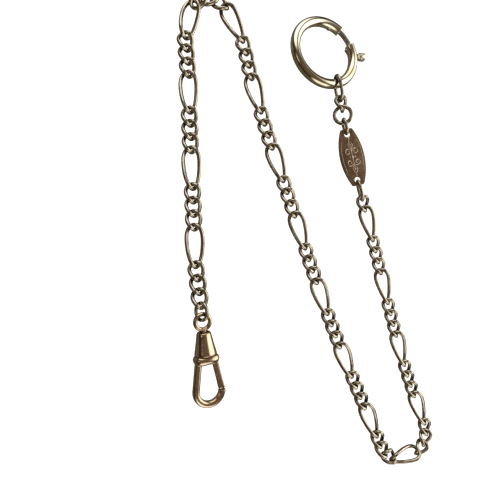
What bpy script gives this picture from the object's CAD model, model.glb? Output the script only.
"""Looks of the pocket watch chain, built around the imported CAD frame."""

import math

import bmesh
import bpy
from mathutils import Matrix, Vector


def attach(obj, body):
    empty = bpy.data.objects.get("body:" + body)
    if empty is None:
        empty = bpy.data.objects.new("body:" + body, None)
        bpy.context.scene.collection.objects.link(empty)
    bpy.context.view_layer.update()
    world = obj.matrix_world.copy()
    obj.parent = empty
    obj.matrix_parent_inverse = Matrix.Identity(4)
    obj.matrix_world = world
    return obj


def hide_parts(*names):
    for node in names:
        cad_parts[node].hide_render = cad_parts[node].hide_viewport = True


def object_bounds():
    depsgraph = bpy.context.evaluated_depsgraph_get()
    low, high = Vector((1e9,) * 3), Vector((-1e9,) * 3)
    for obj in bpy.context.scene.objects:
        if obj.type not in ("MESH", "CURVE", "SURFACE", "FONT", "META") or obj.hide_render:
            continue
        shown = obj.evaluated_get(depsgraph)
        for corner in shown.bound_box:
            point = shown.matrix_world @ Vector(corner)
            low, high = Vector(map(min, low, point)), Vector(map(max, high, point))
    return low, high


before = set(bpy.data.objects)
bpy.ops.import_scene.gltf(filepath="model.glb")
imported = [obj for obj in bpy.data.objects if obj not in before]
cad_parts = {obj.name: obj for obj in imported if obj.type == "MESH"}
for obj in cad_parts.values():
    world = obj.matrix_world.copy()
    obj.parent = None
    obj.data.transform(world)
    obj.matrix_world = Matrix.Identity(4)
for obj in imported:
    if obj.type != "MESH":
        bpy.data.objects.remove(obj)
cad_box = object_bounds()
MM = 0.001


# ---------------------------------------------------------------- vectors
def turn(axis, degrees):
    return Matrix.Rotation(math.radians(degrees), 3, axis)


def toward(heading, pitch=0.0):
    h, p = math.radians(heading), math.radians(pitch)
    return Vector((math.cos(p) * math.cos(h), math.cos(p) * math.sin(h), math.sin(p)))


def steps(first, last, count):
    """count + 1 evenly spaced numbers from first to last."""
    return [first + (last - first) * i / count for i in range(count + 1)]


# ---------------------------------------------------------------- layout
# The same route as the CAD: each piece is reached from the one before.
WIRE = 0.95
PLAY = 0.2
# outer length, outer width, wire, fullness of the shoulders, end twist
SHORT = (5.2, 4.1, WIRE, 0.2, -45)
LONG = (10.6, 4.6, WIRE, 0.5, -45)
RING_LINK = (4.95, 4.1, 1.0, 0.2, -45)
JUMP = (5.45, 5.45, 1.0, 0.0, 0)
UPPER_TAG_RING = (4.8, 3.9, 0.85, 0.1, 0)
LOWER_TAG_RING = (6.25, 4.3, 0.85, 0.1, 0)
SWIVEL_LINK = (4.6, 4.1, 0.85, 0.1, 0)
BAIL = (7.5, 5.4, 0.9, 0.2, 0)

RING_CENTRE = Vector((3.97, 50.28, 2.0))
RING_RADIUS = 8.85
TUBE = 1.3
BORE = 0.85
GAP_START, GAP_END = 24.0, 54.0
BAIL_ANGLE, BAIL_BACK = -68.0, 1.35
KNOB_ANGLE = 4.5
BOLT_TRAVEL = 35.0
RING_TILT = 4.5
SPRING_STOP = -124.0

TAG_LENGTH, TAG_WIDTH, TAG_THICK = 15.6, 6.7, 0.7
TAG_RIM, TAG_HOLE = 0.65, 0.85
EYE_RADIUS, EYE_WIRE, EYE_SLACK = 1.7, 1.0, 0.1


def reach(shape, next_wire):
    return (shape[0] - shape[2]) / 2 - (shape[2] + next_wire) / 4 - PLAY / 2


TAG_REACH = TAG_LENGTH / 2 - TAG_RIM / 2 - (UPPER_TAG_RING[2] + TAG_RIM) / 4 - PLAY / 2
EYE_REACH = EYE_RADIUS - (SWIVEL_LINK[2] + EYE_WIRE) / 4 - PLAY / 2 - EYE_SLACK
SHORT_REACH, LONG_REACH = reach(SHORT, WIRE), reach(LONG, WIRE)

LONG_HEADINGS = [
    -75, -76, -73.5, -67.5, -178.5, -245, -246.5, -249.5,
    -251, -250, -253.5, -240.5, -103.5, -88.5, -88, -88,
]
BENDS = {
    4: (-79, -110, -144.5),
    5: (-210.5, -241, -249.5),
    11: (-258, -257, -253),
    12: (-207, -172.5, -138),
    13: (-86.5, -85, -86.5),
}
SINGLE_GROUPS = (4, 5, 12)
LAST_HEADING = -86.5
LIFT_PITCH = 13


def route():
    """(name, shape, reach back, reach on, heading, pitch, roll) of every piece."""
    upper, lower = UPPER_TAG_RING, LOWER_TAG_RING
    rows = [
        ("ring_bail", BAIL, BAIL_BACK, reach(BAIL, RING_LINK[2]), -77, -3, 108),
        ("ring_link", RING_LINK, reach(RING_LINK, BAIL[2]), reach(RING_LINK, JUMP[2]), -80, -3, -10),
        ("jump_ring", JUMP, reach(JUMP, RING_LINK[2]), reach(JUMP, upper[2]), -79.5, -3, 35),
        ("tag_ring_upper", upper, reach(upper, JUMP[2]), reach(upper, TAG_RIM), -75.5, 0, 114),
        ("ornament_tag", None, TAG_REACH, TAG_REACH, -76.5, 0, 20),
        ("tag_ring_lower", lower, reach(lower, TAG_RIM), reach(lower, WIRE), -75, 0, 118),
        ("first_link", SHORT, reach(SHORT, lower[2]), SHORT_REACH, -60, -15, 0),
    ]
    for number, heading in enumerate(LONG_HEADINGS, 1):
        rows.append((f"long_link_{number:02d}", LONG, LONG_REACH, LONG_REACH, heading, 0, 0))
        last = number == len(LONG_HEADINGS)
        following = LAST_HEADING if last else LONG_HEADINGS[number]
        even = [heading + (following - heading) * share for share in (0.25, 0.5, 0.75)]
        for letter, bend in zip("abc", BENDS.get(number, even)):
            pitch = LIFT_PITCH if last else 0
            on = reach(SHORT, SWIVEL_LINK[2]) if last and letter == "c" else SHORT_REACH
            rows.append((f"short_link_{number:02d}{letter}", SHORT, SHORT_REACH, on, bend, pitch, 0))
    swivel_on = reach(SWIVEL_LINK, EYE_WIRE) - EYE_SLACK
    rows.append(("swivel_link", SWIVEL_LINK, reach(SWIVEL_LINK, WIRE), swivel_on, -85, 8, 60))
    rows.append(("swivel_eye", None, EYE_REACH, 0, -82.5, -8.2, 0))
    return rows


RING_TURN = (
    turn("Z", BAIL_ANGLE + 90) @ turn("X", -RING_TILT) @ turn("Z", -(BAIL_ANGLE + 90))
)


def placed_pieces():
    """Each piece's shape and its place, as a 4x4 in millimetres."""
    here = RING_CENTRE + RING_TURN @ (RING_RADIUS * toward(BAIL_ANGLE))
    places = {}
    for name, shape, back, on, heading, pitch, roll in route():
        along = toward(heading, pitch)
        centre = here + back * along
        here = centre + on * along
        turned = turn("Z", heading) @ turn("Y", -pitch) @ turn("X", roll)
        places[name] = (shape, Matrix.Translation(centre) @ turned.to_4x4())
    return places


PLACES = placed_pieces()
RING_PLACE = Matrix.Translation(RING_CENTRE) @ RING_TURN.to_4x4()
TAG_PLACE = PLACES["ornament_tag"][1]
CLIP_PLACE = PLACES["swivel_eye"][1]


# ---------------------------------------------------------------- materials
def node(tree, kind, links=(), **values):
    """Adds a shader node, sets its sockets by name and links its inputs."""
    made = tree.nodes.new(kind)
    for key, value in values.items():
        if hasattr(made, key):
            setattr(made, key, value)
        else:
            made.inputs[key.replace("_", " ")].default_value = value
    for socket, source in links:
        tree.links.new(source, made.inputs[socket])
    return made


def ramp(tree, source, stops, smooth=True):
    made = node(tree, "ShaderNodeValToRGB", [("Fac", source)])
    made.color_ramp.interpolation = "EASE" if smooth else "LINEAR"
    while len(made.color_ramp.elements) < len(stops):
        made.color_ramp.elements.new(0.5)
    for element, (place, colour) in zip(made.color_ramp.elements, stops):
        element.position = place
        element.color = (*colour, 1) if len(colour) == 3 else colour
    return made


RELIEF_DEPTH = 0.1


def metal(name, clean, tarnish, crevice, rough, grain, bump, hollow=0.9):
    """Polished metal: tarnish in patches and crevices, fine scratches and soft dents.

    clean, tarnish and crevice are its colours, rough the range of its roughness, grain
    the number of patches in a metre, and hollow the width of a crevice in millimetres.
    """
    material = bpy.data.materials.new(name)
    material.use_nodes = True
    tree = material.node_tree
    shader = tree.nodes["Principled BSDF"]
    shader.inputs["Metallic"].default_value = 1.0
    place = node(tree, "ShaderNodeTexCoord").outputs["Object"]

    patches = node(
        tree, "ShaderNodeTexNoise", [("Vector", place)], Scale=grain, Detail=4.0, Roughness=0.6,
    )
    patch = ramp(tree, patches.outputs["Fac"], [(0.40, (0, 0, 0)), (0.66, (1, 1, 1))])
    colour = node(tree, "ShaderNodeMix", data_type="RGBA")
    colour.inputs["A"].default_value = (*clean, 1)
    colour.inputs["B"].default_value = (*tarnish, 1)
    tree.links.new(patch.outputs["Color"], colour.inputs["Factor"])

    hidden = node(tree, "ShaderNodeAmbientOcclusion", samples=8, Distance=hollow * MM)
    depth = ramp(tree, hidden.outputs["AO"], [(0.30, (1, 1, 1)), (0.80, (0, 0, 0))])
    shade = node(tree, "ShaderNodeMix", data_type="RGBA")
    shade.inputs["B"].default_value = (*crevice, 1)
    tree.links.new(colour.outputs["Result"], shade.inputs["A"])
    tree.links.new(depth.outputs["Color"], shade.inputs["Factor"])
    tree.links.new(shade.outputs["Result"], shader.inputs["Base Color"])

    wear = node(
        tree, "ShaderNodeTexNoise", [("Vector", place)], Scale=grain * 3, Detail=5.0, Roughness=0.7,
    )
    gloss = node(tree, "ShaderNodeMapRange", [("Value", wear.outputs["Fac"])])
    gloss.inputs["From Min"].default_value = 0.3
    gloss.inputs["From Max"].default_value = 0.7
    gloss.inputs["To Min"].default_value = rough[0]
    gloss.inputs["To Max"].default_value = rough[1]
    tree.links.new(gloss.outputs["Result"], shader.inputs["Roughness"])

    stretched = node(tree, "ShaderNodeMapping", [("Vector", place)], Scale=(1.0, 5.0, 5.0))
    scratches = node(
        tree, "ShaderNodeTexNoise", [("Vector", stretched.outputs["Vector"])],
        Scale=grain * 2, Detail=3.0,
    )
    dents = node(tree, "ShaderNodeTexNoise", [("Vector", place)], Scale=grain, Detail=2.0)
    heights = node(
        tree, "ShaderNodeMath",
        [(0, scratches.outputs["Fac"]), (1, dents.outputs["Fac"])], operation="ADD",
    )
    relief = node(
        tree, "ShaderNodeBump", [("Height", heights.outputs["Value"])],
        Strength=bump, Distance=RELIEF_DEPTH * MM,
    )
    tree.links.new(relief.outputs["Normal"], shader.inputs["Normal"])
    return material


GOLD = metal(
    "aged_gold", (0.66, 0.605, 0.495), (0.45, 0.395, 0.30), (0.05, 0.036, 0.019),
    (0.09, 0.19), 500, 0.30, 1.3,
)
RING_GOLD = metal(
    "ring_gold", (0.97, 0.94, 0.78), (0.68, 0.62, 0.44), (0.13, 0.08, 0.035),
    (0.06, 0.13), 150, 0.06, 1.3,
)
KNOB_GOLD = metal(
    "knob_gold", (0.97, 0.96, 0.84), (0.88, 0.85, 0.70), (0.35, 0.30, 0.20),
    (0.30, 0.42), 300, 0.06, 0.4,
)
COPPER = metal(
    "copper_gold", (0.84, 0.69, 0.52), (0.62, 0.47, 0.32), (0.10, 0.05, 0.025),
    (0.11, 0.21), 200, 0.08,
)
TAG_METAL = metal(
    "tag_copper", (0.52, 0.37, 0.25), (0.38, 0.265, 0.175), (0.08, 0.045, 0.025),
    (0.28, 0.42), 250, 0.12,
)
ENGRAVING = metal(
    "bright_engraving", (0.92, 0.84, 0.72), (0.74, 0.62, 0.48), (0.40, 0.28, 0.18),
    (0.25, 0.40), 500, 0.10,
)
STEEL = metal(
    "spring_steel", (0.84, 0.82, 0.76), (0.62, 0.58, 0.50), (0.10, 0.08, 0.06),
    (0.12, 0.24), 400, 0.06,
)


# ---------------------------------------------------------------- meshes
WELD = 1e-7


def piece(name, verts, faces, place, material, body, slot_name, replaces=(), smooth=True):
    """A mesh drawn in millimetres, put in place, riding on its CAD body."""
    mesh = bpy.data.meshes.new(name)
    scaled = Matrix.Scale(MM, 4) @ place
    mesh.from_pydata([scaled @ Vector(v) for v in verts], [], faces)
    mesh.materials.append(material)
    mesh.validate()
    fixed = bmesh.new()
    fixed.from_mesh(mesh)
    bmesh.ops.remove_doubles(fixed, verts=fixed.verts, dist=WELD)
    bmesh.ops.recalc_face_normals(fixed, faces=fixed.faces)
    fixed.to_mesh(mesh)
    fixed.free()
    for face in mesh.polygons:
        face.use_smooth = smooth
    made = bpy.data.objects.new(name, mesh)
    bpy.context.scene.collection.objects.link(made)
    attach(made, body)
    if replaces:
        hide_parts(*replaces)
    return made


def rounded(made, width, segments=3, angle=35):
    """Rounds an object's sharp edges and keeps its flat faces flat."""
    bevel = made.modifiers.new("round", "BEVEL")
    bevel.width = width * MM
    bevel.segments = segments
    bevel.limit_method = "ANGLE"
    bevel.angle_limit = math.radians(angle)
    bevel.harden_normals = False


def joined(*parts):
    """Several (verts, faces) as one."""
    verts, faces = [], []
    for more_verts, more_faces in parts:
        base = len(verts)
        verts += more_verts
        faces += [tuple(base + i for i in face) for face in more_faces]
    return verts, faces


def circle(radius, sides):
    """Points round a circle: the section of a wire."""
    turns = [2 * math.pi * k / sides for k in range(sides)]
    return [(radius * math.cos(a), radius * math.sin(a)) for a in turns]


def sweep(path, outward, section, closed=False, sizes=None):
    """A section carried along a path. outward leans each section; sizes scales it."""
    count, sides = len(path), len(section)
    verts = []
    for i, point in enumerate(path):
        if closed:
            along = path[(i + 1) % count] - path[i - 1]
        else:
            along = path[min(i + 1, count - 1)] - path[max(i - 1, 0)]
        along = along.normalized()
        out = (outward[i] - outward[i].dot(along) * along).normalized()
        across = along.cross(out)
        size = sizes[i] if sizes else 1.0
        verts += [point + size * (u * out + v * across) for u, v in section]
    faces = []
    for i in range(count if closed else count - 1):
        j = (i + 1) % count
        for k in range(sides):
            m = (k + 1) % sides
            faces.append((i * sides + k, j * sides + k, j * sides + m, i * sides + m))
    if not closed:
        faces.append(tuple(range(sides)))
        faces.append(tuple(range((count - 1) * sides + sides - 1, (count - 1) * sides - 1, -1)))
    return verts, faces


def round_end(radius, count):
    """Distances along a rod and sizes there that give it a half-round end."""
    angles = [math.radians(a) for a in steps(6, 90, count)]
    return [radius * (1 - math.sin(a)) for a in angles], [math.sin(a) for a in angles]


def lathe(profile, sides=64):
    """A (distance along +X, radius) profile turned about the X axis."""
    verts, faces, rows = [], [], []
    for x, radius in profile:
        if radius < 1e-6:
            rows.append([len(verts)] * sides)
            verts.append(Vector((x, 0, 0)))
        else:
            rows.append(list(range(len(verts), len(verts) + sides)))
            verts += [Vector((x, u, v)) for u, v in circle(radius, sides)]
    for low, high in zip(rows, rows[1:]):
        for k in range(sides):
            m = (k + 1) % sides
            face = []
            for corner in (low[k], high[k], high[m], low[m]):
                if corner not in face:
                    face.append(corner)
            if len(face) > 2:
                faces.append(tuple(face))
    return verts, faces


def arc(centre_x, centre_r, radius, first, last, count):
    """Points of a circular arc in a lathe profile."""
    return [
        (centre_x + radius * math.cos(math.radians(a)), centre_r + radius * math.sin(math.radians(a)))
        for a in steps(first, last, count)
    ]


def prism(outline, height):
    """A flat outline, given anticlockwise, as a solid plate centred on z = 0."""
    count = len(outline)
    verts = [Vector((p.x, p.y, z)) for z in (-height / 2, height / 2) for p in outline]
    faces = [tuple(reversed(range(count))), tuple(range(count, 2 * count))]
    faces += [(i, (i + 1) % count, count + (i + 1) % count, count + i) for i in range(count)]
    return verts, faces


def moved(part, place):
    verts, faces = part
    return [place @ v for v in verts], faces


# ---------------------------------------------------------------- chain links
def wire_loop(shape, rings, sides=18):
    """A closed link: full at its shoulders, its ends twisted against each other."""
    length, width, wire, fullness, twist = shape
    half_length, half_width = (length - wire) / 2, (width - wire) / 2
    path, outward = [], []
    for i in range(rings):
        t = 2 * math.pi * i / rings
        lean = math.radians(twist * math.cos(t))
        y = half_width * math.sin(t) * (1 + fullness * math.cos(t) ** 2)
        path.append(Vector((half_length * math.cos(t), y * math.cos(lean), y * math.sin(lean))))
        outward.append(Vector((0, -math.sin(lean), math.cos(lean))))
    return sweep(path, outward, circle(wire / 2, sides), closed=True)


def build_links():
    for name, (shape, place) in PLACES.items():
        if shape is None:
            continue
        cad = name
        if name.startswith("short_link_") and int(name[11:13]) not in SINGLE_GROUPS:
            cad = f"short_links_{name[11:13]}"
        rings = 112 if shape is LONG else 80
        verts, faces = wire_loop(shape, rings)
        piece(f"{name}_wire", verts, faces, place, GOLD, cad, "chain_gold", [cad])


# ---------------------------------------------------------------- bolt ring
HALF_SLOT = 0.45
SLOT_SPARE = 4
INNER_WALL = RING_RADIUS - TUBE
# (distance in from the inner wall, angle) round each
GUARD_OUTLINE = [
    (-0.35, 1.5), (-0.02, 2.5), (0.22, 6.0), (0.50, 10.5), (0.74, 15.0),
    (0.80, 17.0), (0.62, 18.4), (0.25, 18.9), (-0.35, 18.9),
]
GUARD_HEIGHT = 0.62
LUG_OUTLINE = [(-0.3, 73.0), (0.30, 73.4), (0.36, 76.5), (0.30, 79.6), (-0.3, 80.0)]
LUG_HEIGHT = 0.9


def inner_lug(name, outline, height, round_edge):
    """A plate on the ring's inner wall."""
    shape = prism([(INNER_WALL - depth) * toward(a) for depth, a in outline], height)
    rounded(piece(name, *shape, RING_PLACE, COPPER, "bolt_ring", "bolt_ring_gold"), round_edge, 3, 25)


def build_ring():
    """A tube with a bore: outer wall, inner wall, two lips and the slot's sides."""
    slot_first = KNOB_ANGLE - BOLT_TRAVEL - SLOT_SPARE + 360
    slot_last = KNOB_ANGLE + SLOT_SPARE + 360
    stations = (
        steps(GAP_END, slot_first, 190)
        + steps(slot_first, slot_last, 30)[1:]
        + steps(slot_last, GAP_START + 360, 14)[1:]
    )
    slot_rows, wall_rows = 6, 42

    def tube_angles(radius):
        lip = math.degrees(math.asin(HALF_SLOT / radius))
        return steps(-lip, lip, slot_rows)[:-1] + steps(lip, 360 - lip, wall_rows)[:-1]

    verts, faces = [], []
    sides = slot_rows + wall_rows
    for radius in (TUBE, BORE):
        for station in stations:
            out = toward(station)
            for a in tube_angles(radius):
                r = math.radians(a)
                wall = math.cos(r) * out + Vector((0, 0, math.sin(r)))
                verts.append(RING_RADIUS * out + radius * wall)
    inner = len(stations) * sides

    def open_cell(i, k):
        middle = (stations[i] + stations[i + 1]) / 2
        return k < slot_rows and slot_first < middle < slot_last

    for i in range(len(stations) - 1):
        for k in range(sides):
            m = (k + 1) % sides
            if open_cell(i, k):
                continue
            a, b, c, d = i * sides + k, (i + 1) * sides + k, (i + 1) * sides + m, i * sides + m
            faces.append((a, b, c, d))
            faces.append((inner + a, inner + d, inner + c, inner + b))
    for end in (0, len(stations) - 1):
        for k in range(sides):
            a, b = end * sides + k, end * sides + (k + 1) % sides
            faces.append((a, b, inner + b, inner + a))
    first = stations.index(slot_first)
    last = next(i for i, s in enumerate(stations) if abs(s - slot_last) < 1e-6)
    for i in range(first, last):
        for k in (0, slot_rows):
            a, b = i * sides + k, (i + 1) * sides + k
            faces.append((a, b, inner + b, inner + a))
    for i in (first, last):
        for k in range(slot_rows):
            a, b = i * sides + k, i * sides + k + 1
            faces.append((a, b, inner + b, inner + a))
    tube = piece(
        "bolt_ring_tube", verts, faces, RING_PLACE, RING_GOLD,
        "bolt_ring", "bolt_ring_gold", ["bolt_ring_body"],
    )
    rounded(tube, 0.09, 3, 50)
    # A pointed guard below the gap and a small lug above it.
    inner_lug("ring_guard", GUARD_OUTLINE, GUARD_HEIGHT, 0.14)
    inner_lug("ring_lug", LUG_OUTLINE, LUG_HEIGHT, 0.12)
    out = [toward(a) for a in steps(SPRING_STOP, SPRING_STOP + 3, 6)]
    stop = sweep([RING_RADIUS * o for o in out], out, circle(BORE + 0.02, 32))
    piece("ring_spring_stop", *stop, RING_PLACE, STEEL, "bolt_ring", "spring_steel")


BOLT = 0.65
BOLT_TAIL, BOLT_TIP = -8.0, GAP_END + 3.5
COIL_RADIUS, COIL_WIRE = 0.56, 0.22
COIL_TURNS, COIL_FIRST = 14, -9.5


def build_bolt():
    """The curved bolt, its thumb knob and the coil spring behind it."""
    degrees_per_mm = math.degrees(1 / RING_RADIUS)
    ends, sizes = round_end(BOLT, 8)
    angles = [BOLT_TAIL + e * degrees_per_mm for e in ends]
    middle = steps(angles[-1], BOLT_TIP - ends[-1] * degrees_per_mm, 60)[1:-1]
    angles += middle + [BOLT_TIP - e * degrees_per_mm for e in reversed(ends)]
    sizes = sizes + [1.0] * len(middle) + list(reversed(sizes))
    out = [toward(a) for a in angles]
    rod = sweep([RING_RADIUS * o for o in out], out, circle(BOLT, 28), sizes=sizes)
    piece("bolt_tongue", *rod, RING_PLACE, STEEL, "bolt_slider", "spring_steel", ["bolt"])

    surface = RING_RADIUS + TUBE
    profile = (
        [(RING_RADIUS + 0.5, 0), (RING_RADIUS + 0.5, 0.38)]
        + [(surface + 0.15, 0.38), (surface + 0.15, 0.66)]
        + arc(surface + 0.25, 0.66, 0.1, 180, 90, 4)
        + [(surface + 0.45, 0.74), (surface + 0.85, 0.72)]
        + arc(surface + 1.12, 0.9, 0.2, 200, 90, 6)
        + [(surface + 1.5, 1.13), (surface + 2.1, 1.13)]
        + arc(surface + 2.22, 0.68, 0.44, 78, 10, 8)
        + [(surface + 2.69, 0.3), (surface + 2.7, 0)]
    )
    place = RING_PLACE @ turn("Z", KNOB_ANGLE).to_4x4()
    piece(
        "thumb_knob_turned", *lathe(profile, 56), place, KNOB_GOLD,
        "bolt_slider", "bolt_ring_gold", ["thumb_knob"],
    )

    per_turn = 22
    path, outward = [], []
    for i, a in enumerate(steps(COIL_FIRST, SPRING_STOP + 5, COIL_TURNS * per_turn)):
        w = 2 * math.pi * i / per_turn
        out = math.cos(w) * toward(a) + Vector((0, 0, math.sin(w)))
        outward.append(out)
        path.append(RING_RADIUS * toward(a) + COIL_RADIUS * out)
    coil = sweep(path, outward, circle(COIL_WIRE / 2, 8))
    piece(
        "bolt_spring_coil", *coil, RING_PLACE, STEEL, "bolt_ring", "spring_steel", ["bolt_spring"],
    )


# ---------------------------------------------------------------- ornament tag
TAG_END_WIDTH = 3.0
BORDER_INSET, BORDER_HALF_LENGTH = 0.62, 5.05
# (x, y, radius) of the beads in the ornament
BEADS = [
    (0, 0, 0.34), (4.95, 0, 0.22), (-4.95, 0, 0.22), (0, 0.72, 0.2),
    (0, -0.72, 0.2), (3.3, 0, 0.24), (-3.3, 0, 0.24),
]


def tag_half_width(x):
    """Half width of the pointed oval at x, before its ends are cut round."""
    rise = (TAG_WIDTH - TAG_END_WIDTH) / 2
    side = (TAG_LENGTH ** 2 / 4 + rise ** 2) / (2 * rise)
    return math.sqrt(max(side ** 2 - x ** 2, 0)) - (side - TAG_WIDTH / 2)


def tag_outline(inset=0.0):
    """Points round the tag, evenly turned, inset from its edge."""
    count, points = 160, []
    for i in range(count):
        t = 2 * math.pi * i / count
        direction = Vector((math.cos(t) * 2.2, math.sin(t), 0)).normalized()
        low, high = 0.0, TAG_LENGTH
        for _ in range(40):
            r = (low + high) / 2
            p = r * direction
            inside = p.length <= TAG_LENGTH / 2 and abs(p.y) <= tag_half_width(p.x)
            low, high = (r, high) if inside else (low, r)
        points.append(low * direction)
    if not inset:
        return points
    moved_in = []
    for i, p in enumerate(points):
        along = (points[(i + 1) % count] - points[i - 1]).normalized()
        moved_in.append(p + inset * Vector((-along.y, along.x, 0)))
    return moved_in


def tag_plate():
    """The flat oval with its two holes, as verts and faces."""
    flat = bmesh.new()
    outlines = [tag_outline()]
    for end in (1, -1):
        x = end * (TAG_LENGTH / 2 - TAG_RIM - TAG_HOLE)
        outlines.append([Vector((x + u, v, 0)) for u, v in circle(TAG_HOLE, 40)])
    edges = []
    for outline in outlines:
        ring = [flat.verts.new(p) for p in outline]
        edges += [flat.edges.new((ring[i - 1], ring[i])) for i in range(len(ring))]
    filled = bmesh.ops.triangle_fill(flat, use_beauty=True, edges=edges)
    faces = [f for f in filled["geom"] if isinstance(f, bmesh.types.BMFace)]
    for face in faces:
        if face.normal.z < 0:
            face.normal_flip()
    made = bmesh.ops.extrude_face_region(flat, geom=faces)["geom"]
    lowered = [v for v in made if isinstance(v, bmesh.types.BMVert)]
    bmesh.ops.translate(flat, vec=(0, 0, -TAG_THICK), verts=lowered)
    bmesh.ops.translate(flat, vec=(0, 0, TAG_THICK / 2), verts=flat.verts)
    flat.verts.index_update()
    verts = [v.co.copy() for v in flat.verts]
    indices = [tuple(v.index for v in f.verts) for f in flat.faces]
    flat.free()
    return verts, indices


def ornament_strokes(z):
    """(line, half width) of each cut: a border line and a symmetrical scroll."""
    strokes = []
    border = [Vector((p.x, p.y, z)) for p in tag_outline(BORDER_INSET)]
    for sign in (1, -1):
        line = [p for p in border if abs(p.x) < BORDER_HALF_LENGTH and p.y * sign > 0]
        strokes.append((sorted(line, key=lambda p: p.x), 0.07))
    for sign in (1, -1):
        for half in (1, -1):
            scroll = []
            for t in steps(0, 1, 59):
                centre = Vector((1.45, 1.0, 0))
                p = centre + 0.95 * (1 - 0.72 * t) * toward(-90 + 430 * t)
                scroll.append(Vector((sign * p.x, half * p.y, z)))
            strokes.append((scroll, 0.14))
            leaf = [
                Vector((sign * (2.1 + 2.5 * t), half * 0.55 * math.sin(math.pi * t), z))
                for t in steps(0, 1, 29)
            ]
            strokes.append((leaf, 0.12))
    strokes.append(([Vector((x, 0, z)) for x in steps(-4.6, 4.6, 60)], 0.11))
    return strokes


def build_tag():
    """The plate, and its bright-cut ornament on both faces."""
    plate = piece(
        "ornament_tag_plate", *tag_plate(), TAG_PLACE, TAG_METAL,
        "ornament_tag", "tag_copper", ["ornament_tag"],
    )
    rounded(plate, 0.16, 4, 50)
    for side, top in (("front", 1), ("back", -1)):
        z = top * (TAG_THICK / 2 - 0.03)
        parts = []
        for line, half_width in ornament_strokes(z):
            shares = [min(max(t, 0.02), 0.98) for t in steps(0, 1, len(line) - 1)]
            sizes = [0.25 + 0.75 * math.sin(math.pi * t) ** 0.6 for t in shares]
            outward = [Vector((0, 0, 1))] * len(line)
            parts.append(sweep(line, outward, circle(half_width, 10), sizes=sizes))
        for x, y, r in BEADS:
            bead = lathe([(-r, 0)] + arc(0, 0, r, 168, 12, 10) + [(r, 0)], 20)
            parts.append(moved(bead, Matrix.Translation((x, y, z))))
        piece(
            f"tag_ornament_{side}", *joined(*parts), TAG_PLACE, ENGRAVING,
            "ornament_tag", "tag_copper",
        )


# ---------------------------------------------------------------- swivel clip
CONE_START, CONE_END, COLLAR_END = 2.3, 7.3, 9.5
COLLAR_WIDE, COLLAR_HIGH = 2.95, 2.1
HOOK_CENTRE, HOOK_RADIUS = 15.85, 3.05
HOOK_ROOT = Vector((COLLAR_END - 0.4, -1.86, 0))
HOOK_TIP_ANGLE = 84.0
GATE_PIVOT, GATE_TIP = Vector((8.4, 1.85, 0)), Vector((15.95, 3.0, 0))
GATE_HEIGHT = 1.3


def applied(made):
    """Makes an object's modifiers permanent."""
    bpy.context.view_layer.update()
    shaped = made.evaluated_get(bpy.context.evaluated_depsgraph_get())
    final = bpy.data.meshes.new_from_object(shaped)
    made.modifiers.clear()
    made.data = final
    return final


def remeshed(made, voxel, rounds):
    """Melts an object's overlapping solids into one skin."""
    melt = made.modifiers.new("melt", "REMESH")
    melt.mode = "VOXEL"
    melt.voxel_size = voxel * MM
    melt.use_smooth_shade = True
    ease = made.modifiers.new("ease", "SMOOTH")
    ease.factor = 0.5
    ease.iterations = rounds
    for face in applied(made).polygons:
        face.use_smooth = True


def cut(made, cutter_part, place):
    """Takes a solid away from an object."""
    mesh = bpy.data.meshes.new("cutter")
    scaled = Matrix.Scale(MM, 4) @ place
    mesh.from_pydata([scaled @ Vector(v) for v in cutter_part[0]], [], cutter_part[1])
    fixed = bmesh.new()
    fixed.from_mesh(mesh)
    bmesh.ops.recalc_face_normals(fixed, faces=fixed.faces)
    fixed.to_mesh(mesh)
    fixed.free()
    tool = bpy.data.objects.new("cutter", mesh)
    bpy.context.scene.collection.objects.link(tool)
    away = made.modifiers.new("cut", "BOOLEAN")
    away.operation = "DIFFERENCE"
    away.solver = "EXACT"
    away.object = tool
    applied(made)
    bpy.data.objects.remove(tool)


def block(low, high):
    """A box between two corners."""
    corners = [
        Vector((x, y, z))
        for x in (low[0], high[0]) for y in (low[1], high[1]) for z in (low[2], high[2])
    ]
    faces = [(0, 1, 3, 2), (4, 6, 7, 5), (0, 4, 5, 1), (2, 3, 7, 6), (0, 2, 6, 4), (1, 5, 7, 3)]
    return corners, faces


def signed_power(value, power):
    return math.copysign(abs(value) ** power, value)


def clip_piece(name, part, material, body, slot_name, cad, place=CLIP_PLACE, smooth=True):
    return piece(name, *part, place, material, body, slot_name, [cad], smooth)


def build_eye():
    """The eye with its stem and the stem's head."""
    out = [toward(a) for a in steps(0, 360, 96)[:-1]]
    torus = sweep([EYE_RADIUS * o for o in out], out, circle(EYE_WIRE / 2, 24), closed=True)
    stem = lathe([
        (EYE_RADIUS - 0.1, 0), (EYE_RADIUS - 0.1, 0.78), (EYE_RADIUS + 0.3, 0.72),
        (3.4, 0.7), (3.4, 1.15), (4.0, 1.15), (4.0, 0),
    ], 40)
    eye = joined(torus, stem)
    made = clip_piece("swivel_eye_ring", eye, COPPER, "swivel_eye", "clip_copper", "swivel_eye")
    remeshed(made, 0.055, 6)


def build_cone():
    """The cone, hollow for the stem's head."""
    flare = [
        (x, 1.6 + 0.95 * ((x - CONE_START) / 5.0) ** 1.15)
        for x in steps(CONE_START + 0.45, CONE_END - 0.25, 12)
    ]
    hollow_end = CONE_START + 1.6
    profile = (
        [(hollow_end, 0.76), (CONE_START + 0.05, 0.76)]
        + arc(CONE_START + 0.28, 1.3, 0.28, 200, 100, 6)
        + flare
        + [(CONE_END - 0.1, 2.5), (CONE_END, 2.35), (CONE_END + 0.1, 2.0)]
        + [(CONE_END + 0.1, 1.3), (hollow_end, 1.3), (hollow_end, 0.76)]
    )
    cone = lathe(profile, 96)
    clip_piece("swivel_cone", cone, COPPER, "swivel_clip", "clip_copper", "swivel_housing")


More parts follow.
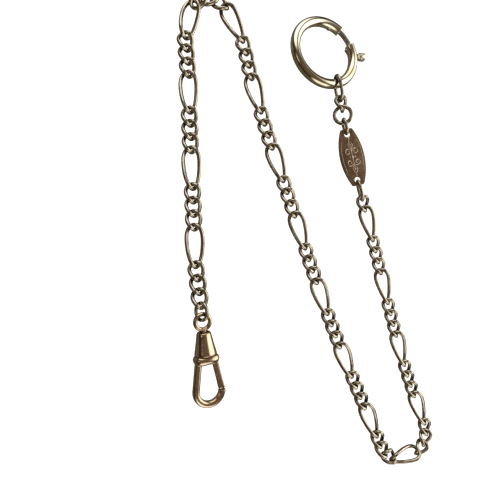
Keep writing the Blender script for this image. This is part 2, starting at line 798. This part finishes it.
def build_collar():
    """A rounded oval band with the slot for the gate."""
    sides, oval = 128, 2.6
    half, middle = (COLLAR_END - CONE_END) / 2, (COLLAR_END + CONE_END) / 2
    # (distance along, radius of a flat end, None on the rounded edge)
    bulge = [math.radians(a) for a in steps(12, 168, 20)]
    profile = [(-half, 0.0, None), (-half, 1.5, None)]
    profile += [(-half * math.cos(a), None, a) for a in bulge]
    profile += [(half, 1.5, None), (half, 0.0, None)]
    verts, faces = [], []
    for x, flat_radius, a in profile:
        for c, s in circle(1.0, sides):
            power = abs(c / COLLAR_WIDE) ** oval + abs(s / COLLAR_HIGH) ** oval
            core = power ** (-1 / oval) - half
            r = min(flat_radius, core) if a is None else core + half * math.sin(a)
            verts.append(Vector((middle + x, r * c, r * s)))
    for i in range(len(profile) - 1):
        for k in range(sides):
            m = (k + 1) % sides
            faces.append((i * sides + k, (i + 1) * sides + k, (i + 1) * sides + m, i * sides + m))
    collar = clip_piece(
        "swivel_collar_band", (verts, faces), COPPER, "swivel_clip", "clip_copper", "swivel_collar",
    )
    cut(collar, block((CONE_END + 0.25, 0.7, -0.75), (COLLAR_END + 1, 5, 0.75)), CLIP_PLACE)
    rounded(collar, 0.06, 2, 50)


def build_hook():
    """A bar of squared round section, straight and then bent round."""
    centre = Vector((HOOK_CENTRE, 0, 0))
    back = HOOK_ROOT - centre
    tangent = (
        math.degrees(math.atan2(back.y, back.x)) + math.degrees(math.acos(HOOK_RADIUS / back.length))
    )
    start = centre + HOOK_RADIUS * toward(tangent)
    path = [HOOK_ROOT.lerp(start, t) for t in steps(0, 1, 24)][:-1]
    path += [centre + HOOK_RADIUS * toward(a) for a in steps(tangent, HOOK_TIP_ANGLE, 110)]
    inside = Vector((HOOK_CENTRE - 1.5, 0, 0))
    outward = [(p - inside).normalized() for p in path]
    section = [
        (0.82 * signed_power(c, 0.8), 0.78 * signed_power(s, 0.8)) for c, s in circle(1.0, 28)
    ]
    bar = sweep(path, outward, section)
    hook = clip_piece(
        "swivel_hook_bar", bar, COPPER, "swivel_clip", "clip_copper", "swivel_hook",
    )
    rounded(hook, 0.18, 4, 50)


def build_gate():
    """The gate lever, its pin and its leaf spring."""
    along = GATE_TIP - GATE_PIVOT
    length = along.length - 0.12
    pivot = CLIP_PLACE @ Matrix.Translation(GATE_PIVOT)
    gate_place = pivot @ turn("Z", math.degrees(math.atan2(along.y, along.x))).to_4x4()

    def waist(x):
        return 0.68 - 0.04 * math.sin(math.pi * x / length)

    outline = [0.78 * toward(a) for a in steps(60, 300, 20)]
    outline += [Vector((x, -waist(x), 0)) for x in steps(0.75, length, 16)]
    outline += [Vector((x, waist(x), 0)) for x in steps(length, 0.75, 16)]
    lever = clip_piece(
        "gate_lever_bar", prism(outline, GATE_HEIGHT), COPPER,
        "gate", "clip_copper", "gate_lever", gate_place,
    )
    rounded(lever, 0.16, 3, 40)

    rivet = lathe([(-1.8, 0), (-1.8, 0.3), (1.8, 0.3), (1.8, 0)], 32)
    clip_piece(
        "gate_pin_rivet", rivet, STEEL,
        "swivel_clip", "spring_steel", "gate_pin", pivot @ turn("Y", 90).to_4x4(),
    )
    path = [
        Vector((CONE_END + 0.35 + 1.35 * t, 0.79 + 0.03 * math.sin(math.pi * t), 0))
        for t in steps(0, 1, 16)
    ]
    section = [(-0.06, -0.4), (0.06, -0.4), (0.06, 0.4), (-0.06, 0.4)]
    leaf = clip_piece(
        "gate_spring_leaf", sweep(path, [Vector((0, 1, 0))] * len(path), section), STEEL,
        "swivel_clip", "spring_steel", "gate_spring", smooth=False,
    )
    rounded(leaf, 0.02, 2, 40)


build_links()
build_ring()
build_bolt()
build_tag()
build_eye()
build_cone()
build_collar()
build_hook()
build_gate()


# ---------------------------------------------------------------- floor and light
FLOOR_HALF = 1.5
FLOOR_DROP = 0.02


def build_floor():
    """A pale floor that lights the object from below; the camera and the metal don't see it."""
    material = bpy.data.materials.new("pale_floor")
    material.use_nodes = True
    tree = material.node_tree
    shader = tree.nodes["Principled BSDF"]
    shader.inputs["Base Color"].default_value = (0.93, 0.93, 0.925, 1)
    shader.inputs["Roughness"].default_value = 0.9
    shader.inputs["Emission Color"].default_value = (1, 1, 1, 1)
    shader.inputs["Emission Strength"].default_value = 0.70
    mesh = bpy.data.meshes.new("floor")
    corners = [(FLOOR_HALF * x, FLOOR_HALF * y, 0) for x, y in ((-1, -1), (1, -1), (1, 1), (-1, 1))]
    mesh.from_pydata(corners, [], [(0, 1, 2, 3)])
    mesh.materials.append(material)
    floor = bpy.data.objects.new("floor", mesh)
    bpy.context.scene.collection.objects.link(floor)
    floor.location.z = cad_box[0][2] - FLOOR_DROP * MM
    floor.visible_camera = False
    floor.visible_glossy = False


# The room's colour by height, from straight down (0) to straight up (1).
ROOM = [
    (0.0, (0.085, 0.070, 0.052)),
    (0.30, (0.14, 0.118, 0.090)),
    (0.46, (0.11, 0.090, 0.066)),
    (0.50, (0.032, 0.020, 0.010)),
    (0.70, (0.042, 0.026, 0.014)),
    (0.88, (0.105, 0.074, 0.047)),
    (1.0, (0.150, 0.110, 0.076)),
]
# Soft panels: direction, degrees to their outer and inner edge, colour.
PANELS = [
    ((0.85, 0.10, 0.55), 40, 22, (1.75, 1.68, 1.50)),
    ((-0.15, 0.88, 0.48), 34, 16, (1.6, 1.53, 1.38)),
    ((0.1, -0.9, 0.42), 31, 14, (1.35, 1.29, 1.16)),
    ((-0.75, 0.05, 0.6), 12, 5, (0.8, 0.76, 0.68)),
]
BACKDROP = (1.3, 1.3, 1.3, 1)


def area_light(name, place, target, size, power, colour):
    light = bpy.data.lights.new(name, "AREA")
    light.shape = "RECTANGLE"
    light.size, light.size_y = size
    light.energy = power
    light.color = colour
    made = bpy.data.objects.new(name, light)
    bpy.context.scene.collection.objects.link(made)
    made.location = place
    made.rotation_euler = (Vector(target) - Vector(place)).to_track_quat("-Z", "Y").to_euler()
    return made


def glow(tree, way, direction, outer, inner):
    """1 within inner degrees of a direction, fading to 0 at outer degrees from it."""
    facing = node(tree, "ShaderNodeVectorMath", [(0, way)], operation="DOT_PRODUCT")
    facing.inputs[1].default_value = Vector(direction).normalized()
    lobe = node(
        tree, "ShaderNodeMapRange", [("Value", facing.outputs["Value"])],
        interpolation_type="SMOOTHSTEP",
    )
    lobe.inputs["From Min"].default_value = math.cos(math.radians(outer))
    lobe.inputs["From Max"].default_value = math.cos(math.radians(inner))
    return lobe.outputs["Result"]


def build_light():
    """A dim brown room with soft panels of light that the metal mirrors, and a weak key light."""
    world = bpy.data.worlds.new("studio")
    bpy.context.scene.world = world
    world.use_nodes = True
    tree = world.node_tree
    way = node(tree, "ShaderNodeTexCoord").outputs["Generated"]
    height = node(tree, "ShaderNodeSeparateXYZ", [("Vector", way)]).outputs["Z"]
    lift = node(tree, "ShaderNodeMapRange", [("Value", height)])
    lift.inputs["From Min"].default_value = -1.0
    room = ramp(tree, lift.outputs["Result"], ROOM, smooth=False).outputs["Color"]
    for direction, outer, inner, colour in PANELS:
        lit = glow(tree, way, direction, outer, inner)
        mixed = node(tree, "ShaderNodeMix", [("Factor", lit)], data_type="RGBA")
        tree.links.new(room, mixed.inputs["A"])
        mixed.inputs["B"].default_value = (*colour, 1)
        room = mixed.outputs["Result"]
    # The camera sees a plain white backdrop in place of the room.
    seen = node(tree, "ShaderNodeLightPath").outputs["Is Camera Ray"]
    backdrop = node(tree, "ShaderNodeMix", [("Factor", seen)], data_type="RGBA")
    tree.links.new(room, backdrop.inputs["A"])
    backdrop.inputs["B"].default_value = BACKDROP
    tree.links.new(backdrop.outputs["Result"], tree.nodes["Background"].inputs["Color"])
    key = area_light("key", (-0.16, 0.18, 0.42), (0, 0, 0), (0.22, 0.30), 2.2, (1.0, 0.98, 0.95))
    key.visible_glossy = False


# ---------------------------------------------------------------- camera
# The camera leans 24 degrees off the plumb line and is turned about 10 degrees.
SLANT, SWING, ROLL = 24.0, 9.76, 9.96
DISTANCE = 102.56
AIM = Vector((-18.0, -2.69, 0.0))
LENS, SENSOR = 30.5, 36


def build_camera():
    """Looks at AIM from DISTANCE millimetres."""
    up = Vector((0, 0, 1))
    a, r = math.radians(SLANT), math.radians(ROLL)
    ahead, side = toward(SWING), toward(SWING + 90)
    view = math.sin(a) * ahead - math.cos(a) * up
    along = math.cos(a) * ahead + math.sin(a) * up
    right = math.cos(r) * along - math.sin(r) * side
    top = math.sin(r) * along + math.cos(r) * side
    camera = bpy.data.cameras.new("camera")
    camera.sensor_width = SENSOR
    camera.lens = LENS
    camera.clip_start = 0.005
    camera.clip_end = 10
    made = bpy.data.objects.new("camera", camera)
    bpy.context.scene.collection.objects.link(made)
    axes = Matrix((right, top, -view)).transposed().to_4x4()
    made.matrix_world = Matrix.Translation((AIM - DISTANCE * view) * MM) @ axes
    bpy.context.scene.camera = made


build_floor()
build_light()
build_camera()
bpy.context.scene.view_settings.view_transform = "Standard"
